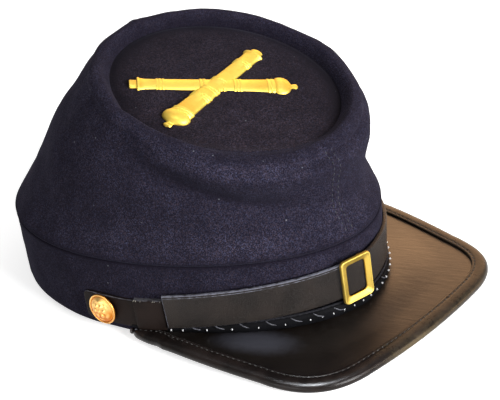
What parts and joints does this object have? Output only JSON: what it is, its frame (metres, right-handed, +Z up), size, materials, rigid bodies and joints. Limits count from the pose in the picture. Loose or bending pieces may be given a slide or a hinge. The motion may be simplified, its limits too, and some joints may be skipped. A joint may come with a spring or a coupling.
{
  "type": "kepi cap",
  "caption": "Soft wool kepi whose crown leans forward to a sunken round top with a crossed-barrels badge, over a leather visor and a buckled chin strap.",
  "frame": {"origin": "middle of the footprint, on the surface the cap rests on", "axes": "+Z up; -Y to the front, where the visor is; +X to the wearer's left"},
  "size_m": [0.177, 0.2544, 0.1258],
  "materials": {
    "dark_blue_wool": "very dark blue wool, close felted nap, matte",
    "black_leather": "black leather, polished",
    "strap_leather": "dark grey-brown leather, semi-matte",
    "brass": "bright satin brass"
  },
  "bodies": {
    "root": {"crown": "dark_blue_wool", "crown_top": "dark_blue_wool", "band": "dark_blue_wool", "visor": "black_leather", "visor_binding": "black_leather", "chin_strap_inner": "strap_leather", "chin_strap_outer": "strap_leather", "strap_keeper": "strap_leather", "buckle": "brass", "button_right": "brass", "button_left": "brass", "badge": "brass"}
  },
  "joints": []
}
